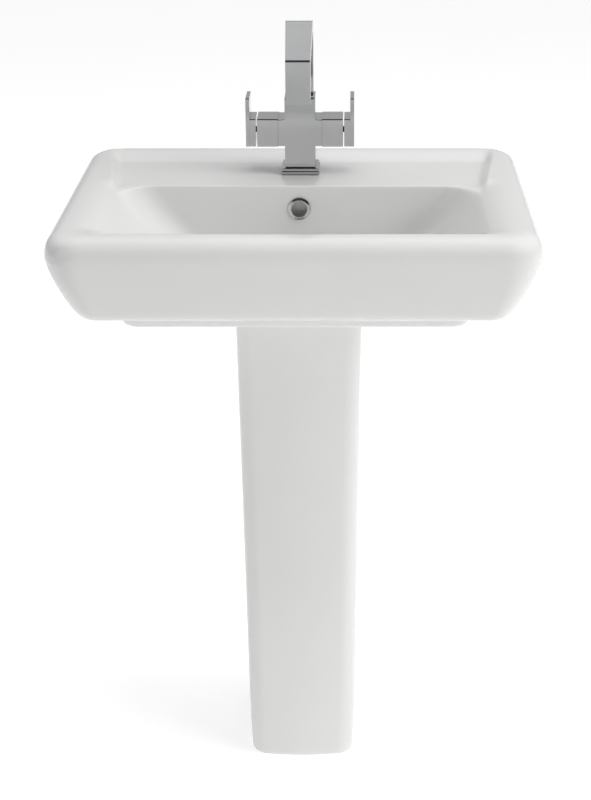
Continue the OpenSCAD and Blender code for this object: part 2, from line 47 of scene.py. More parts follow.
# Levels and sizes in millimetres, the same as the CAD's driving dimensions.
HALF_W, HALF_D = 303.0, 230.0
LEDGE, RISE = 798.0, 8.0
RIM = LEDGE + RISE
SKIRT, PLINTH, OVERFLOW = LEDGE - 96.0, LEDGE - 122.0, LEDGE - 31.0
BOWL_HW, BOWL_BACK, FLOOR = 240.0, 52.0, LEDGE - 101.0
TAPER, BOWL_TAPER = 0.021, 0.045
PED_TOP, PED_TOP_HW, PED_FOOT_HW = PLINTH - 2.0, 83.0, 72.0
PED_FRONT, PED_BACK, PED_WALL = -50.0, 142.0, 10.0
TAP_Y = 132.0
COL_W, COL_D, COL_TOP = 41.0, 44.0, 105.0
ARM_H, AXIS_H, ARM_HW, HOUSING_END = 36.6, 57.7, 29.5, 57.7
LEVER_OUT, LEVER_TOP = 72.8, 105.0
SPOUT_W, SPOUT_FRONT_W, SPOUT_T, SPOUT_REACH = 36.4, 32.4, 14.0, 97.0
SPOUT_TOP, SPOUT_CORNER, SPOUT_OUT = 209.0, 172.0, 114.0
SPOUT_BEND = 18.0
# Height of the black seal ring under the tap column, a dark part that paints the shade of the gap at the
# column's foot.
FOOT_SHADE_SEAL = 1.6
SPIGOT_R, SPIGOT_BORE, GRUB_BORE = 11.0, 11.05, 2.05
PLATE_Z, PLATE_HIGH, PLATE_SIDE = LEDGE + 1.0, 8.0, 52.0
WASTE_HOLE, TAP_HOLE, OVERFLOW_HOLE, WALL_HOLE = 22.5, 17.0, 12.0, 7.0
WALL_X, WALL_Z = 140.0, LEDGE - 62.0

# Surface angle in degrees above which an edge of the ceramic stays crisp.
SOFT_EDGE = 38.0


# ---- materials -----------------------------------------------------------

def material(name):
    mat = bpy.data.materials.new(name)
    mat.use_nodes = True
    tree = mat.node_tree
    return mat, tree, tree.nodes["Principled BSDF"]


def noise(tree, scale, detail=3.0, rough=0.5, stretch=None):
    coords = tree.nodes.new("ShaderNodeTexCoord")
    tex = tree.nodes.new("ShaderNodeTexNoise")
    tex.inputs["Scale"].default_value = scale
    tex.inputs["Detail"].default_value = detail
    tex.inputs["Roughness"].default_value = rough
    if stretch:
        mapping = tree.nodes.new("ShaderNodeMapping")
        mapping.inputs["Scale"].default_value = stretch
        tree.links.new(coords.outputs["Object"], mapping.inputs["Vector"])
        tree.links.new(mapping.outputs["Vector"], tex.inputs["Vector"])
    else:
        tree.links.new(coords.outputs["Object"], tex.inputs["Vector"])
    return tex


def ramp(tree, source, low, high, c0, c1):
    node = tree.nodes.new("ShaderNodeValToRGB")
    node.color_ramp.elements[0].position = low
    node.color_ramp.elements[1].position = high
    node.color_ramp.elements[0].color = c0
    node.color_ramp.elements[1].color = c1
    tree.links.new(source, node.inputs["Fac"])
    return node


def grey(v):
    return (v, v, v, 1.0)


def bump(tree, shader, height, strength, distance):
    node = tree.nodes.new("ShaderNodeBump")
    node.inputs["Strength"].default_value = strength
    node.inputs["Distance"].default_value = distance
    tree.links.new(height, node.inputs["Height"])
    tree.links.new(node.outputs["Normal"], shader.inputs["Normal"])
    return node


def ceramic():
    """Vitreous glaze: faint colour drift, slow waviness and fine pinhole texture under a clear coat."""
    mat, tree, shader = material("glazed_white")
    drift = noise(tree, 5.0, 4.0)
    tint = ramp(tree, drift.outputs["Fac"], 0.3, 0.7, (0.775, 0.775, 0.765, 1), (0.80, 0.80, 0.795, 1))
    tree.links.new(tint.outputs["Color"], shader.inputs["Base Color"])
    gloss = noise(tree, 38.0, 5.0)
    rough = ramp(tree, gloss.outputs["Fac"], 0.3, 0.75, grey(0.14), grey(0.20))
    tree.links.new(rough.outputs["Color"], shader.inputs["Roughness"])
    shader.inputs["IOR"].default_value = 1.5
    shader.inputs["Specular IOR Level"].default_value = 0.5
    shader.inputs["Coat Weight"].default_value = 0.25
    shader.inputs["Coat Roughness"].default_value = 0.12
    wave = noise(tree, 16.0, 2.0)
    bump(tree, shader, wave.outputs["Fac"], 0.10, 0.0006)
    return mat


def chrome(name, base, rough_low, rough_high):
    """Plated metal: polish that varies a little and hairline wiping marks."""
    mat, tree, shader = material(name)
    shader.inputs["Metallic"].default_value = 1.0
    cloud = noise(tree, 30.0, 3.0)
    tint = ramp(tree, cloud.outputs["Fac"], 0.25, 0.75,
                (base * 0.94, base * 0.95, base * 0.96, 1), (base, base * 1.005, base * 1.015, 1))
    tree.links.new(tint.outputs["Color"], shader.inputs["Base Color"])
    hair = noise(tree, 90.0, 4.0, 0.6, (1.0, 1.0, 9.0))
    rough = ramp(tree, hair.outputs["Fac"], 0.3, 0.7, grey(rough_low), grey(rough_high))
    tree.links.new(rough.outputs["Color"], shader.inputs["Roughness"])
    bump(tree, shader, hair.outputs["Fac"], 0.02, 0.0001)
    return mat


def moulded(name, c0, c1, rough, scale, strength):
    """Moulded plastic or rubber: mottled colour, fine grain and a soft sheen."""
    mat, tree, shader = material(name)
    cloud = noise(tree, scale * 0.12, 4.0)
    tint = ramp(tree, cloud.outputs["Fac"], 0.3, 0.7, c0, c1)
    tree.links.new(tint.outputs["Color"], shader.inputs["Base Color"])
    grain = noise(tree, scale, 4.0)
    sheen = ramp(tree, grain.outputs["Fac"], 0.3, 0.7, grey(rough), grey(min(1.0, rough + 0.12)))
    tree.links.new(sheen.outputs["Color"], shader.inputs["Roughness"])
    bump(tree, shader, grain.outputs["Fac"], strength, 0.0002)
    return mat


def turned(name, c0, c1, rough):
    """Turned brass or steel: rings left by the tool, and slight tarnish."""
    mat, tree, shader = material(name)
    shader.inputs["Metallic"].default_value = 1.0
    cloud = noise(tree, 60.0, 5.0)
    tint = ramp(tree, cloud.outputs["Fac"], 0.3, 0.72, c0, c1)
    tree.links.new(tint.outputs["Color"], shader.inputs["Base Color"])
    rings = noise(tree, 300.0, 2.0, 0.5, (0.05, 0.05, 6.0))
    sheen = ramp(tree, rings.outputs["Fac"], 0.3, 0.7, grey(rough), grey(rough + 0.15))
    tree.links.new(sheen.outputs["Color"], shader.inputs["Roughness"])
    bump(tree, shader, rings.outputs["Fac"], 0.15, 0.0002)
    return mat


CERAMIC = ceramic()
CHROME = chrome("polished_chrome", 0.60, 0.10, 0.17)
RUBBER = moulded("black_rubber", (0.018, 0.018, 0.018, 1), (0.035, 0.034, 0.033, 1), 0.55, 900, 0.25)
WHITE_PLASTIC = moulded("white_plastic", (0.74, 0.74, 0.72, 1), (0.79, 0.79, 0.77, 1), 0.28, 700, 0.08)
GREY_PLASTIC = moulded("grey_plastic", (0.10, 0.10, 0.105, 1), (0.14, 0.14, 0.145, 1), 0.4, 800, 0.1)
BRASS = turned("turned_brass", (0.50, 0.36, 0.15, 1), (0.62, 0.46, 0.21, 1), 0.25)
STEEL = turned("black_steel", (0.035, 0.035, 0.038, 1), (0.06, 0.06, 0.065, 1), 0.3)
LOOKS = {"ceramic": CERAMIC, "chrome": CHROME, "rubber": RUBBER, "white_plastic": WHITE_PLASTIC,
         "grey_plastic": GREY_PLASTIC, "brass": BRASS, "steel": STEEL}


# ---- mesh helpers --------------------------------------------------------

def new_object(name, verts, faces, mat):
    mesh = bpy.data.meshes.new(name)
    mesh.from_pydata([tuple(c * MM for c in v) for v in verts], [], faces)
    obj = bpy.data.objects.new(name, mesh)
    bpy.context.scene.collection.objects.link(obj)
    obj.data.materials.append(mat)
    bm = bmesh.new()
    bm.from_mesh(mesh)
    bmesh.ops.recalc_face_normals(bm, faces=bm.faces)
    bm.to_mesh(mesh)
    bm.free()
    return obj


def apply_modifiers(obj):
    """Writes the object's modifiers into its mesh."""
    graph = bpy.context.evaluated_depsgraph_get()
    mesh = bpy.data.meshes.new_from_object(obj.evaluated_get(graph))
    obj.modifiers.clear()
    old = obj.data
    obj.data = mesh
    bpy.data.meshes.remove(old)


def shade(obj, angle):
    """Smooth shading, with edges sharper than the angle kept hard and flat faces kept flat."""
    limit = math.radians(angle)
    bm = bmesh.new()
    bm.from_mesh(obj.data)
    for face in bm.faces:
        face.smooth = True
    for edge in bm.edges:
        edge.smooth = not (len(edge.link_faces) == 2 and edge.calc_face_angle(0.0) > limit)
    bm.to_mesh(obj.data)
    bm.free()
    mod = obj.modifiers.new("normals", "WEIGHTED_NORMAL")
    mod.keep_sharp = True
    mod.weight = 80
    apply_modifiers(obj)


def cut(obj, tool):
    """Takes one solid out of another and throws the tool away."""
    mod = obj.modifiers.new("cut", "BOOLEAN")
    mod.operation = "DIFFERENCE"
    mod.solver = "EXACT"
    mod.object = tool
    apply_modifiers(obj)
    bpy.data.objects.remove(tool)


def bevel(obj, width, segments=3, angle=30.0):
    mod = obj.modifiers.new("edge", "BEVEL")
    mod.width = width * MM
    mod.segments = segments
    mod.limit_method = "ANGLE"
    mod.angle_limit = math.radians(angle)
    mod.harden_normals = False
    apply_modifiers(obj)


def chamfer_tops(obj, width):
    """A flat chamfer along every edge between a front face and a top face."""
    bm = bmesh.new()
    bm.from_mesh(obj.data)
    edges = []
    for edge in bm.edges:
        normals = [face.normal for face in edge.link_faces]
        if len(normals) == 2 and min(n.y for n in normals) < -0.99 and max(n.z for n in normals) > 0.99:
            edges.append(edge)
    bmesh.ops.bevel(bm, geom=edges, offset=width * MM, offset_type="OFFSET", segments=1, profile=0.5,
                    affect="EDGES", clamp_overlap=True)
    bm.to_mesh(obj.data)
    bm.free()


def lathe(name, profile, mat, steps=72, axis="Z", centre=(0.0, 0.0, 0.0)):
    """A closed solid of revolution through (radius, height) points."""
    verts, faces = [], []
    m = len(profile)
    for i in range(steps):
        a = 2 * math.pi * i / steps
        for r, h in profile:
            p = (r * math.cos(a), r * math.sin(a), h)
            if axis == "Y":
                p = (p[0], p[2], -p[1])
            elif axis == "X":
                p = (p[2], p[1], -p[0])
            verts.append(tuple(p[k] + centre[k] for k in range(3)))
    for i in range(steps):
        for j in range(m):
            a, b = i * m + j, i * m + (j + 1) % m
            c, d = ((i + 1) % steps) * m + (j + 1) % m, ((i + 1) % steps) * m + j
            faces.append((a, b, c, d))
    return new_object(name, verts, faces, mat)


def box_mesh(name, lo, hi, mat):
    verts = [(x, y, z) for x in (lo[0], hi[0]) for y in (lo[1], hi[1]) for z in (lo[2], hi[2])]
    faces = [(0, 1, 3, 2), (4, 6, 7, 5), (0, 4, 5, 1), (2, 3, 7, 6), (0, 2, 6, 4), (1, 5, 7, 3)]
    return new_object(name, verts, faces, mat)


def prism(name, outline, low, high, mat, plane="XZ"):
    """An outline of 2D points pushed out between low and high along the third axis."""
    n = len(outline)
    verts = []
    for w in (low, high):
        for u, v in outline:
            verts.append((u, w, v) if plane == "XZ" else (w, u, v))
    faces = [tuple(range(n)), tuple(range(2 * n - 1, n - 1, -1))]
    faces += [(i, (i + 1) % n, n + (i + 1) % n, n + i) for i in range(n)]
    return new_object(name, verts, faces, mat)


def join(objs, name):
    """One mesh from several, in the first one's place."""
    bm = bmesh.new()
    for o in objs:
        bm.from_mesh(o.data)
    bm.to_mesh(objs[0].data)
    bm.free()
    for o in objs[1:]:
        bpy.data.objects.remove(o)
    objs[0].name = name
    return objs[0]


# ---- ceramic surfaces ----------------------------------------------------

def ramp01(v, low, high):
    t = min(1.0, max(0.0, (v - low) / (high - low)))
    return t * t * (3 - 2 * t)


def narrow(y, taper=TAPER):
    """The share of the width left at a distance from the wall, as in the CAD."""
    return 1 - taper * max(0.0, y + HALF_D - 44) / (2 * HALF_D - 44)


def loop(w, f, b, rf, rb, corner=12, along=(44, 30, 44, 30)):
    """Points of a rounded rectangle, anticlockwise from the front's right corner."""
    pts = []
    corners = [((w - rf, f + rf), rf, -90), ((w - rb, b - rb), rb, 0),
               ((-w + rb, b - rb), rb, 90), ((-w + rf, f + rf), rf, 180)]
    order = (1, 2, 3, 0)
    for k in range(4):
        (cx, cy), r, start = corners[k]
        for i in range(corner + 1):
            a = math.radians(start + 90 * i / corner)
            pts.append((cx + r * math.cos(a), cy + r * math.sin(a)))
        (nx, ny), nr, nstart = corners[order[k]]
        a = math.radians(nstart)
        end = (nx + nr * math.cos(a), ny + nr * math.sin(a))
        begin = pts[-1]
        count = (along[1], along[0], along[3], along[2])[k]
        for i in range(1, count):
            t = i / count
            pts.append((begin[0] + (end[0] - begin[0]) * t, begin[1] + (end[1] - begin[1]) * t))
    return pts


def chaikin(rows, rounds):
    """Cuts the corners of a list of parameter rows, keeping both ends."""
    for _ in range(rounds):
        out = [rows[0]]
        for p, q in zip(rows, rows[1:]):
            out.append([0.75 * a + 0.25 * b for a, b in zip(p, q)])
            out.append([0.25 * a + 0.75 * b for a, b in zip(p, q)])
        out.append(rows[-1])
        rows = out
    return rows


def rim_height(x, y):
    """Height of the surface between the rim's crest and the edge of the bowl, beside and over the ledge."""
    edge = 237 + 17 * ramp01(y, 30, 225)
    side = ramp01(abs(x), edge, edge + 13)
    lip = 0.85 * ramp01(y, 172, 222)
    return LEDGE + RISE * (1 - (1 - side) * (1 - lip))


def quads(k, m):
    """The band of faces between loop k and loop k + 1, with m points in each."""
    return [(k * m + j, k * m + (j + 1) % m, (k + 1) * m + (j + 1) % m, (k + 1) * m + j) for j in range(m)]


def basin_solid():
    """The basin's skin in one run of loops: up the outside, over the rim and ledge, and down the bowl."""
    hw, hd = HALF_W, HALF_D
    lower = chaikin([
        [hw - 93, -160, hd, 18, 4, PLINTH],
        [hw - 87.5, -165.5, hd, 22, 4, PLINTH + 0.6],
        [hw - 86, -167, hd, 24, 4, PLINTH + 6],
        [hw - 84, -167.5, hd, 24, 5, SKIRT - 8],
        [hw - 82, -168, hd, 24, 6, SKIRT + 0.2],
        [hw - 76, -174, hd, 20, 8, SKIRT + 0.2],
        [hw - 62, 25 - hd, hd, 14, 12, SKIRT],
        [hw - 48, 13 - hd, hd, 17, 18, SKIRT + 0.4],
        [hw - 39, 8.5 - hd, hd, 22, 22, SKIRT + 6],
        [hw - 32, 6.4 - hd, hd, 27, 26, SKIRT + 13],
        [hw - 24.5, 4.5 - hd, hd, 31, 30, SKIRT + 23],
        [hw - 14.5, 2.1 - hd, hd, 36, 36, SKIRT + 39],
        [hw - 5, 0.5 - hd, hd, 41, 40, SKIRT + 57],
        [hw, -hd, hd, 43, 42, RIM - 30],
    ], 2)
    roll = []
    for k in range(1, 21):
        a = math.radians(90 * (k / 20) ** 1.35)
        inset, rise = 1 - math.cos(a) ** 0.7, math.sin(a) ** 0.7
        roll.append([hw - 27 * inset, 33 * inset - hd, hd - 5 * inset, 43 - 13 * inset, 42 - 12 * inset,
                     RIM - 30 + 30 * rise])
    outer = lower + roll
    verts, count = [], 0
    for w, f, b, rf, rb, z in outer:
        for x, y in loop(w, f, b, rf, rb):
            x *= narrow(y)
            crest = RIM if y < -60 else rim_height(x, y)
            drop = (RIM - crest) * ramp01(z, 782, RIM) if y > -60 else 0.0
            verts.append((x, y, z - drop))
        count += 1
    crest_loop = loop(*outer[-1][:5])
    inner = [
        [BOWL_HW + 3, -178, BOWL_BACK + 3.5, 30, 48, LEDGE, LEDGE],
        [BOWL_HW + 1.5, -176.5, BOWL_BACK + 1, 31, 47, LEDGE - 0.9, LEDGE - 0.2],
        [BOWL_HW - 2, -174.5, BOWL_BACK, 32, 46, LEDGE - 3.5, LEDGE - 3],
        [BOWL_HW - 8, -172, BOWL_BACK, 32, 45, LEDGE - 9, LEDGE - 9],
        [208, -160, BOWL_BACK, 34, 42, LEDGE - 34, LEDGE - 34],
        [178, -146, BOWL_BACK, 34, 39, FLOOR + 39, FLOOR + 39],
        [162, -137, BOWL_BACK - 0.8, 36, 38, FLOOR + 24, FLOOR + 24],
        [150, -129, BOWL_BACK - 3, 38, 36, FLOOR + 12, FLOOR + 12],
        [136, -117, BOWL_BACK - 6, 40, 34, FLOOR + 4, FLOOR + 4],
        [118, -102, BOWL_BACK - 10, 42, 30, FLOOR + 0.8, FLOOR + 0.8],
        [96, -84, BOWL_BACK - 14, 42, 28, FLOOR, FLOOR],
    ]
    inner = chaikin(inner, 2)
    edge_loop = loop(*inner[0][:5])
    steps = 30
    for k in range(1, steps):
        t = k / steps
        for (ax, ay), (bx, by) in zip(crest_loop, edge_loop):
            x, y = ax + (bx - ax) * t, ay + (by - ay) * t
            beside = ramp01(y, 30, 60)
            rolled = RIM - RISE * t ** 2.2
            x *= narrow(y, TAPER + (BOWL_TAPER - TAPER) * t)
            verts.append((x, y, rolled * (1 - beside) + rim_height(x, y) * beside))
        count += 1
    for w, f, b, rf, rb, z, zr in inner:
        for x, y in loop(w, f, b, rf, rb):
            rear = ramp01(y, b - rb, b) * (1 - ramp01(abs(x), w - rb, w))
            verts.append((x * narrow(y, BOWL_TAPER), y, z + (zr - z) * rear))
        count += 1
    last = loop(*inner[-1][:5])
    for k in range(1, 9):
        t = k / 8
        for x, y in last:
            x *= narrow(y, BOWL_TAPER)
            a = math.atan2(y, x)
            verts.append((x + (26 * math.cos(a) - x) * t, y + (26 * math.sin(a) - y) * t, FLOOR))
        count += 1
    return new_object("basin_shell", verts, capped_quads(count, len(last)), CERAMIC)


def capped_quads(count, m):
    """The sides between count loops of m points each, with both ends closed."""
    faces = [f for k in range(count - 1) for f in quads(k, m)]
    faces.append(tuple(range(m - 1, -1, -1)))
    faces.append(tuple((count - 1) * m + j for j in range(m)))
    return faces


def hollow(name, rows):
    """A cutter through rows of (z, w, f, b, r)."""
    verts = []
    for z, w, f, b, r in rows:
        for x, y in loop(w, f, b, r, r, 3, (2, 2, 2, 2)):
            verts.append((x * narrow(y), y, z))
    return new_object(name, verts, capped_quads(len(rows), len(verts) // len(rows)), CERAMIC)


def disc_cutter(radius, low, high, axis="Z", centre=(0, 0, 0)):
    """A round cutter, with the points on its axis merged."""
    profile = [(0.001, low), (radius, low), (radius, high), (0.001, high)]
    obj = lathe("cutter", profile, CERAMIC, 64, axis, centre)
    bm = bmesh.new()
    bm.from_mesh(obj.data)
    bmesh.ops.remove_doubles(bm, verts=bm.verts, dist=2e-6)
    bmesh.ops.recalc_face_normals(bm, faces=bm.faces)
    bm.to_mesh(obj.data)
    bm.free()
    return obj


def make_basin():
    """The basin's skin with its holes and the open spaces underneath cut out."""
    basin = basin_solid()
    hd = HALF_D
    cuts = [
        hollow("tap_space", [(PLINTH - 5, 190, 84, hd - 13, 12), (SKIRT + 4, 190, 84, hd - 13, 12),
                             (LEDGE - 60, 205, 82, hd - 13, 12), (LEDGE - 13, 215, 82, hd - 13, 12)]),
        disc_cutter(WASTE_HOLE, PLINTH - 5, FLOOR + 5),
        disc_cutter(TAP_HOLE, LEDGE - 30, LEDGE + 5, centre=(0, TAP_Y, 0)),
        disc_cutter(OVERFLOW_HOLE, BOWL_BACK - 8, BOWL_BACK + 14, "Y", (0, 0, OVERFLOW)),
    ]
    for x in (-WALL_X, WALL_X):
        cuts.append(disc_cutter(WALL_HOLE, hd - 30, hd + 5, "Y", (x, 0, WALL_Z)))
    rows = [(PLINTH - 5, 186, 200), (SKIRT + 4, 187, 204), (SKIRT + 16, 190, 250),
            (LEDGE - 55, 211, 270), (LEDGE - 30, 237, 278), (LEDGE - 16, 257, 278)]
    for side in (-1, 1):
        verts = []
        for z, a, b in rows:
            for x, y in ((a, -136), (b, -136), (b, 66), (a, 66)):
                verts.append((side * x * narrow(y), y, z))
        faces = [f for k in range(len(rows) - 1) for f in quads(k, 4)]
        faces += [(3, 2, 1, 0), tuple(len(rows) * 4 - 4 + j for j in range(4))]
        cuts.append(new_object("side_space", verts, faces, CERAMIC))
    for tool in cuts:
        cut(basin, tool)
    shade(basin, SOFT_EDGE)
    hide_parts("basin")
    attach(basin, "fixture")


def ped_loop(w, f, b, r, n=12):
    """Plan of the pedestal: bowed front, rounded front corners, straight sides."""
    pts = []
    for i in range(n + 1):
        a = math.radians(-90 + 90 * i / n)
        pts.append((w - r + r * math.cos(a), f + r + r * math.sin(a)))
    for i in range(1, 9):
        pts.append((w, f + r + (b - 4 - f - r) * i / 8))
    for i in range(1, 5):
        a = math.radians(90 * i / 4)
        pts.append((w - 4 + 4 * math.cos(a), b - 4 + 4 * math.sin(a)))
    right = list(pts)
    for x, y in reversed(right):
        pts.append((-x, y))
    span = w - r
    for i in range(1, 12):
        x = -span + 2 * span * i / 12
        pts.append((x, f - 3 * (1 - (x / span) ** 2)))
    return pts


def make_pedestal():
    """The hollow column, open at the back, with two feet for the floor screws."""
    rows = [
        [PED_FOOT_HW - 9, PED_FRONT + 9, PED_BACK - 7, 20, 0.0],
        [PED_FOOT_HW - 4, PED_FRONT + 3.5, PED_BACK - 2.5, 24, 0.3],
        [PED_FOOT_HW - 2, PED_FRONT + 0.8, PED_BACK - 0.4, 26, 4.0],
        [PED_FOOT_HW - 1.2, PED_FRONT + 0.3, PED_BACK, 26, 12.0],
        [PED_FOOT_HW - 0.3, PED_FRONT, PED_BACK, 26, 30.0],
    ]
    for k in range(1, 12):
        t = k / 12
        w = PED_FOOT_HW + (PED_TOP_HW - PED_FOOT_HW) * t
        rows.append([w, PED_FRONT, PED_BACK, 26 - 2 * t, 10 + (PED_TOP - 20) * t])
    rows += [
        [PED_TOP_HW, PED_FRONT, PED_BACK, 24, PED_TOP - 9],
        [PED_TOP_HW - 0.4, PED_FRONT + 0.4, PED_BACK - 0.4, 24, PED_TOP - 3],
        [PED_TOP_HW - 1.6, PED_FRONT + 1.6, PED_BACK - 1.6, 23, PED_TOP - 0.4],
        [PED_TOP_HW - 5, PED_FRONT + 5, PED_BACK - 4, 21, PED_TOP],
    ]
    rows = chaikin(rows, 1)
    verts = [(x, y, z) for w, f, b, r, z in rows for x, y in ped_loop(w, f, b, r)]
    ped = new_object("pedestal_shell", verts, capped_quads(len(rows), len(verts) // len(rows)), CERAMIC)
    t = PED_WALL
    inner = [(PED_FOOT_HW - t, -20), (PED_TOP_HW - t, PED_TOP + 20)]
    verts = []
    for w, z in inner:
        for x, y in ped_loop(w, PED_FRONT + t, PED_BACK - t, 15):
            verts.append((x, y, z))
    cut(ped, new_object("cutter", verts, capped_quads(2, len(verts) // 2), CERAMIC))
    cut(ped, box_mesh("cutter", (-PED_FOOT_HW + 22, PED_BACK - 30, -20),
                      (PED_FOOT_HW - 22, PED_BACK + 20, PED_TOP + 20), CERAMIC))
    shade(ped, SOFT_EDGE)
    feet = []
    for s in (-1, 1):
        x = s * (PED_FOOT_HW - 20)
        foot = box_mesh("foot", (x - 13, PED_BACK - 62, 0), (x + 13, PED_BACK - 18, 14), CERAMIC)
        bevel(foot, 1.5)
        cut(foot, disc_cutter(3.5, -5, 20, centre=(s * (PED_FOOT_HW - 22), PED_BACK - 40, 0)))
        shade(foot, SOFT_EDGE)
        feet.append(foot)
    ped = join([ped] + feet, "pedestal_shell")
    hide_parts("pedestal")
    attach(ped, "fixture")


# ---- chrome tap ----------------------------------------------------------

def finish_piece(obj, body, node, angle=32):
    """Shades a piece, puts it in its CAD node's place and ties it to its body."""
    shade(obj, angle)
    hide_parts(node)
    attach(obj, body)


def crisp_box(name, lo, hi, width):
    """A chrome block with a flat chamfer along its front top edge and fine bevels elsewhere."""
    obj = box_mesh(name, lo, hi, CHROME)
    chamfer_tops(obj, width)
    bevel(obj, 0.4, 2, 60)
    return obj


def make_base_plate():
    """Two square steps."""
    half, middle, top = PLATE_SIDE / 2, PLATE_Z + PLATE_HIGH / 2, PLATE_Z + PLATE_HIGH
    low = box_mesh("base_low", (-half, TAP_Y - half, PLATE_Z), (half, TAP_Y + half, middle + 0.2), CHROME)
    bevel(low, 0.7)
    half -= 1.5
    high = box_mesh("base_high", (-half, TAP_Y - half, middle), (half, TAP_Y + half, top), CHROME)
    bevel(high, 0.7)
    finish_piece(join([low, high], "base_plate_steps"), "fixture", "tap_base_plate")


def make_tap_body():
    """Column and cross arms, one casting with flush faces."""
    # The column starts above the black seal ring, which paints the shade of the gap at its foot.
    foot, top = PLATE_Z + PLATE_HIGH + FOOT_SHADE_SEAL, LEDGE + COL_TOP
    arm_low, arm_high = LEDGE + AXIS_H - ARM_H / 2, LEDGE + AXIS_H + ARM_H / 2
    c, d, a = COL_W / 2, COL_D / 2, ARM_HW
    outline = [(-c, foot), (c, foot), (c, arm_low), (a, arm_low), (a, arm_high), (c, arm_high), (c, top),
               (-c, top), (-c, arm_high), (-a, arm_high), (-a, arm_low), (-c, arm_low)]
    body = prism("column_cross", outline, TAP_Y - d, TAP_Y + d, CHROME)
    chamfer_tops(body, 1.0)
    bevel(body, 0.4, 2, 60)
    cut(body, disc_cutter(SPIGOT_BORE, top - 26, top + 5, centre=(0, TAP_Y, 0)))
    cut(body, disc_cutter(GRUB_BORE, 8, 40, "Y", (0, TAP_Y, top - 14)))
    finish_piece(body, "fixture", "tap_body")


def make_valve_and_handle(side, name):
    """The square sleeve at the end of one arm, and the handle outside it: a block with an upright plate."""
    z, half_y = LEDGE + AXIS_H, (COL_D + 1) / 2
    half_z = (ARM_H + 1.4) / 2
    x0, x1 = sorted((side * ARM_HW, side * HOUSING_END))
    sleeve = crisp_box(name + "_sleeve", (x0, TAP_Y - half_y, z - half_z),
                       (x1, TAP_Y + half_y, z + half_z), 1.2)
    finish_piece(sleeve, "fixture", name + "_valve_housing")
    step, low_z = LEVER_OUT - 5.3, z - (ARM_H + 1) / 2
    x0, x1 = sorted((side * (HOUSING_END + 1.6), side * (step + 0.5)))
    block = crisp_box(name + "_block", (x0, TAP_Y - COL_D / 2, low_z),
                      (x1, TAP_Y + COL_D / 2, low_z + ARM_H + 1), 1.0)
    x0, x1 = sorted((side * step, side * LEVER_OUT))
    lever = crisp_box(name + "_plate", (x0, TAP_Y - half_y, low_z),
                      (x1, TAP_Y + half_y, LEDGE + LEVER_TOP), 1.0)
    lever = join([block, lever], name + "_lever_plate")
    finish_piece(lever, name + "_lever", name + "_handle")


def band(t, low, out):
    """Side outline of the spout's band at half thickness t, as (forward, up) pairs."""
    bend = SPOUT_BEND
    drop, run = SPOUT_CORNER - SPOUT_TOP + bend + SPOUT_T / 2, SPOUT_REACH - bend
    fall = math.asin((bend + SPOUT_T / 2) / math.hypot(drop, run)) - math.atan2(drop, run)
    turn = math.pi / 2 + fall
    mid = SPOUT_TOP - bend - SPOUT_T / 2

    def arc(r, n=28):
        return [(bend - r * math.cos(i * turn / n), mid + r * math.sin(i * turn / n)) for i in range(n + 1)]

    def front(s):
        flat = SPOUT_REACH - SPOUT_T / 2 + s - bend + (bend + s) * math.cos(turn)
        return mid + (bend + s) * math.sin(turn) - flat * math.tan(fall)

    leg = SPOUT_REACH - SPOUT_T / 2
    corner = [(leg + t - 1.5, front(t) + 1.5 * math.tan(fall)), (leg + t, front(t) - 1.9)]
    return ([(-t, low)] + arc(bend + t) + corner + [(leg + t, out), (leg - t, out), (leg - t, front(-t))]
            + arc(bend - t)[::-1] + [(t, low)])


def make_spout():
    """The band, narrowed towards its front leg, with its foot and the spigot that turns in the column."""
    half = SPOUT_T / 2
    outline = [(TAP_Y - f, LEDGE + u) for f, u in band(half, COL_TOP + 0.3, SPOUT_OUT)]
    arch = prism("arch_band", outline, -SPOUT_W / 2, SPOUT_W / 2, CHROME, "YZ")
    for v in arch.data.vertices:
        ahead = (TAP_Y - v.co.y / MM - SPOUT_T) / (SPOUT_REACH - 1.5 * SPOUT_T)
        v.co.x *= 1 - (1 - SPOUT_FRONT_W / SPOUT_W) * min(max(ahead, 0), 1)
    bevel(arch, 0.45, 2, 60)
    y = TAP_Y - SPOUT_REACH + half
    cut(arch, box_mesh("cutter", (-SPOUT_FRONT_W / 2 + 4, y - half + 3, LEDGE + SPOUT_OUT - 5),
                       (SPOUT_FRONT_W / 2 - 4, y + half - 3, LEDGE + SPOUT_OUT + 9), CHROME))
    foot_z = LEDGE + COL_TOP + 0.3
    foot = box_mesh("foot", (-SPOUT_W / 2, TAP_Y - SPOUT_W / 2, foot_z),
                    (SPOUT_W / 2, TAP_Y + SPOUT_W / 2, foot_z + 3), CHROME)
    bevel(foot, 0.6, 2)
    top = LEDGE + COL_TOP
    profile = [(4, top - 24), (SPIGOT_R - 0.6, top - 24), (SPIGOT_R, top - 23.4), (SPIGOT_R, top + 1),
               (4, top + 1)]
    spigot = lathe("spigot", profile, CHROME, 64, centre=(0, TAP_Y, 0))
    spout = join([arch, foot, spigot], "spout_band")
    finish_piece(spout, "spout_arm", "spout", 24)


# ---- small pieces --------------------------------------------------------

def make_overflow():
    """The trim ring, with a rolled face and a sleeve into the hole."""
    y, z = BOWL_BACK, OVERFLOW
    profile = [(10.2, y + 8), (10.2, y - 2.6), (10.6, y - 3.3), (11.4, y - 3.6), (12.6, y - 3.4),
               (13.6, y - 2.7), (14.2, y - 2.3), (14.7, y - 2.3), (15.2, y - 1.9), (15.4, y - 1.2),
               (15.4, y - 0.02), (11.9, y), (11.9, y + 8)]
    ring = lathe("overflow_trim", profile, CHROME, 96, "Y", (0, 0, z))
    finish_piece(ring, "fixture", "overflow_ring", 40)


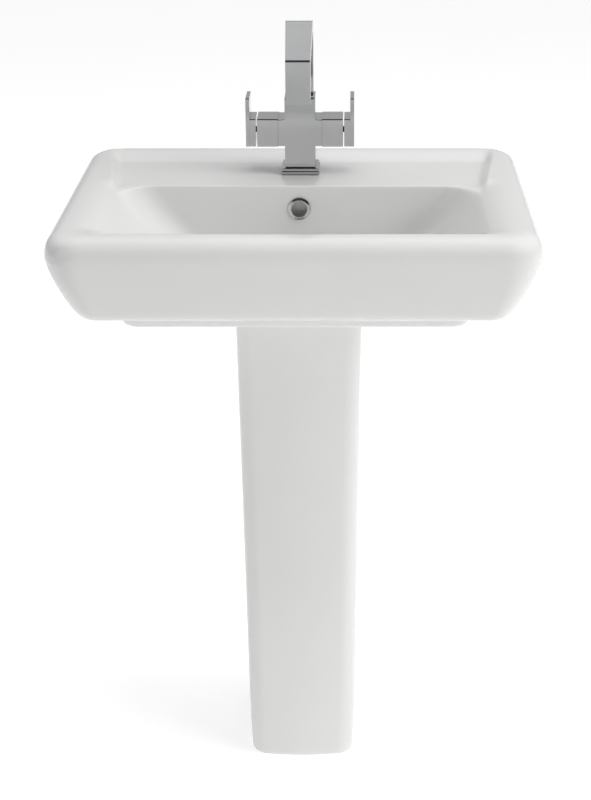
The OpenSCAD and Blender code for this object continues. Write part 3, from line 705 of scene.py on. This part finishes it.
def make_waste():
    """The slotted waste with its dished flange, and the domed plug with its stem."""
    f = FLOOR
    dish = [(18.8, PLINTH - 40), (21.5, PLINTH - 40), (21.5, f + 1), (30.2, f + 1), (30.9, f + 1.3),
            (30.8, f + 1.9), (29.8, f + 2.5), (28.6, f + 2.6), (23, f + 1.9), (19.6, f + 0.6),
            (18.8, f - 1.5)]
    flange = lathe("waste_dish", dish, CHROME, 96)
    for y0, y1 in ((-30, -10), (10, 30)):
        cut(flange, box_mesh("cutter", (-10, y0, PLINTH + 5), (10, y1, PLINTH + 15), CHROME))
    finish_piece(flange, "fixture", "waste_flange", 40)
    low = PLINTH - 27
    cap = [(0.01, low), (3.6, low), (4, low + 0.5), (4, f - 2), (14.6, f - 2), (15, f - 1.6), (15, f + 3),
           (28.6, f + 3), (29.4, f + 3.5), (29.3, f + 4.3), (28.2, f + 5.3), (25, f + 6.0), (18, f + 6.5),
           (8, f + 6.75), (0.01, f + 6.8)]
    plug = lathe("plug_cap", cap, CHROME, 96)
    finish_piece(plug, "plug", "waste_plug", 40)


make_basin()
make_pedestal()
make_base_plate()
make_tap_body()
make_valve_and_handle(-1, "hot")
make_valve_and_handle(1, "cold")
make_spout()
make_overflow()
make_waste()

slots = {p["node"]: p["material_slot"] for p in frame["record"]["subparts"]}
for node, obj in nodes.items():
    obj.data.materials.clear()
    obj.data.materials.append(LOOKS[slots[node]])

# ---- stage, lights, camera ----------------------------------------------

mat, tree, shader = material("studio_floor")
paper = noise(tree, 3.0, 3.0)
tone = ramp(tree, paper.outputs["Fac"], 0.3, 0.7, grey(0.90), grey(0.92))
tree.links.new(tone.outputs["Color"], shader.inputs["Base Color"])
shader.inputs["Roughness"].default_value = 0.9
place = tree.nodes.new("ShaderNodeTexCoord")
parts = tree.nodes.new("ShaderNodeSeparateXYZ")
tree.links.new(place.outputs["Object"], parts.inputs["Vector"])
# The floor's glow is painted light: it changes along Y, between these two distances in metres.
GLOW_FRONT, GLOW_BACK = -7.0, 3.0
along = tree.nodes.new("ShaderNodeMapRange")
along.inputs["From Min"].default_value = GLOW_FRONT
along.inputs["From Max"].default_value = GLOW_BACK
tree.links.new(parts.outputs["Y"], along.inputs["Value"])
painted_floor_glow = ramp(tree, along.outputs["Result"], 0.10, 0.95, grey(0.45), grey(0.62))
# Painted light: the glow washes out the cast shadow on the floor beside and under the basin, and lays bright
# and dark bands in front that the chrome mirrors.
for y, value in ((-4.7, 0.55), (-4.3, 0.30), (-4.1, 0.14), (-3.9, 0.0), (-0.8, 0.12), (-0.2, 0.46)):
    painted_floor_glow.color_ramp.elements.new((y - GLOW_FRONT) / (GLOW_BACK - GLOW_FRONT)).color = grey(value)
shader.inputs["Emission Color"].default_value = grey(1.0)
tree.links.new(painted_floor_glow.outputs["Color"], shader.inputs["Emission Strength"])
floor = new_object("studio_floor", [(-9000, -7000, 0), (9000, -7000, 0), (9000, 14000, 0), (-9000, 14000, 0)],
                   [(0, 1, 2, 3)], mat)


def area(name, place, target, size, power, tall, mirrored=False):
    """A soft box at a place in metres, aimed at a target; mirrored says whether reflections show it."""
    data = bpy.data.lights.new(name, "AREA")
    data.energy = power
    data.shape = "RECTANGLE"
    data.size = size
    data.size_y = tall
    obj = bpy.data.objects.new(name, data)
    obj.location = place
    obj.rotation_euler = (Vector(target) - Vector(place)).to_track_quat("-Z", "Y").to_euler()
    obj.visible_glossy = mirrored
    bpy.context.scene.collection.objects.link(obj)


area("key_right", (2.7, -1.0, 2.7), (0, 0, 0.7), 2.6, 66, 2.6)
area("fill_left", (-2.6, -1.6, 1.5), (0, 0, 0.5), 1.8, 7, 1.8, True)
area("front_soft", (0.3, -3.2, 0.9), (0, 0, 0.4), 2.2, 19, 1.4)
area("top_soft", (0.2, -0.2, 3.0), (0, 0.1, 0.5), 2.0, 25, 1.6)

# Bright behind the object, dark in front of it and dimmer straight overhead, as in a studio cove.
world = bpy.data.worlds.new("studio")
world.use_nodes = True
wt = world.node_tree
back = wt.nodes["Background"]
coords = wt.nodes.new("ShaderNodeTexCoord")
split = wt.nodes.new("ShaderNodeSeparateXYZ")
wt.links.new(coords.outputs["Generated"], split.inputs["Vector"])
cove = ramp(wt, split.outputs["Y"], 0.0, 0.6, grey(0.08), grey(0.92))
cove.color_ramp.elements.new(0.25).color = grey(0.92)
cove.color_ramp.interpolation = "EASE"
sky = ramp(wt, split.outputs["Z"], 0.30, 0.98, grey(0.60), grey(0.30))
for z in (0.62, 0.92):
    sky.color_ramp.elements.new(z).color = grey(1.0)
both = wt.nodes.new("ShaderNodeMix")
both.data_type = "RGBA"
both.blend_type = "MULTIPLY"
both.inputs["Factor"].default_value = 1.0
wt.links.new(cove.outputs["Color"], both.inputs["A"])
wt.links.new(sky.outputs["Color"], both.inputs["B"])
wt.links.new(both.outputs["Result"], back.inputs["Color"])
back.inputs["Strength"].default_value = 0.85
bpy.context.scene.world = world
bpy.context.scene.view_settings.view_transform = "Standard"

cam_data = bpy.data.cameras.new("camera")
cam_data.sensor_width = 36.0
cam_data.lens = 91.34
cam_data.shift_x = -0.080
cam_data.shift_y = -0.150
cam_data.clip_end = 60.0
camera = bpy.data.objects.new("camera", cam_data)
camera.location = (0.0799, -2.5411, 1.5191)
camera.rotation_euler = (math.radians(90 - 18.19), 0.0, 0.0)
bpy.context.scene.collection.objects.link(camera)
bpy.context.scene.camera = camera
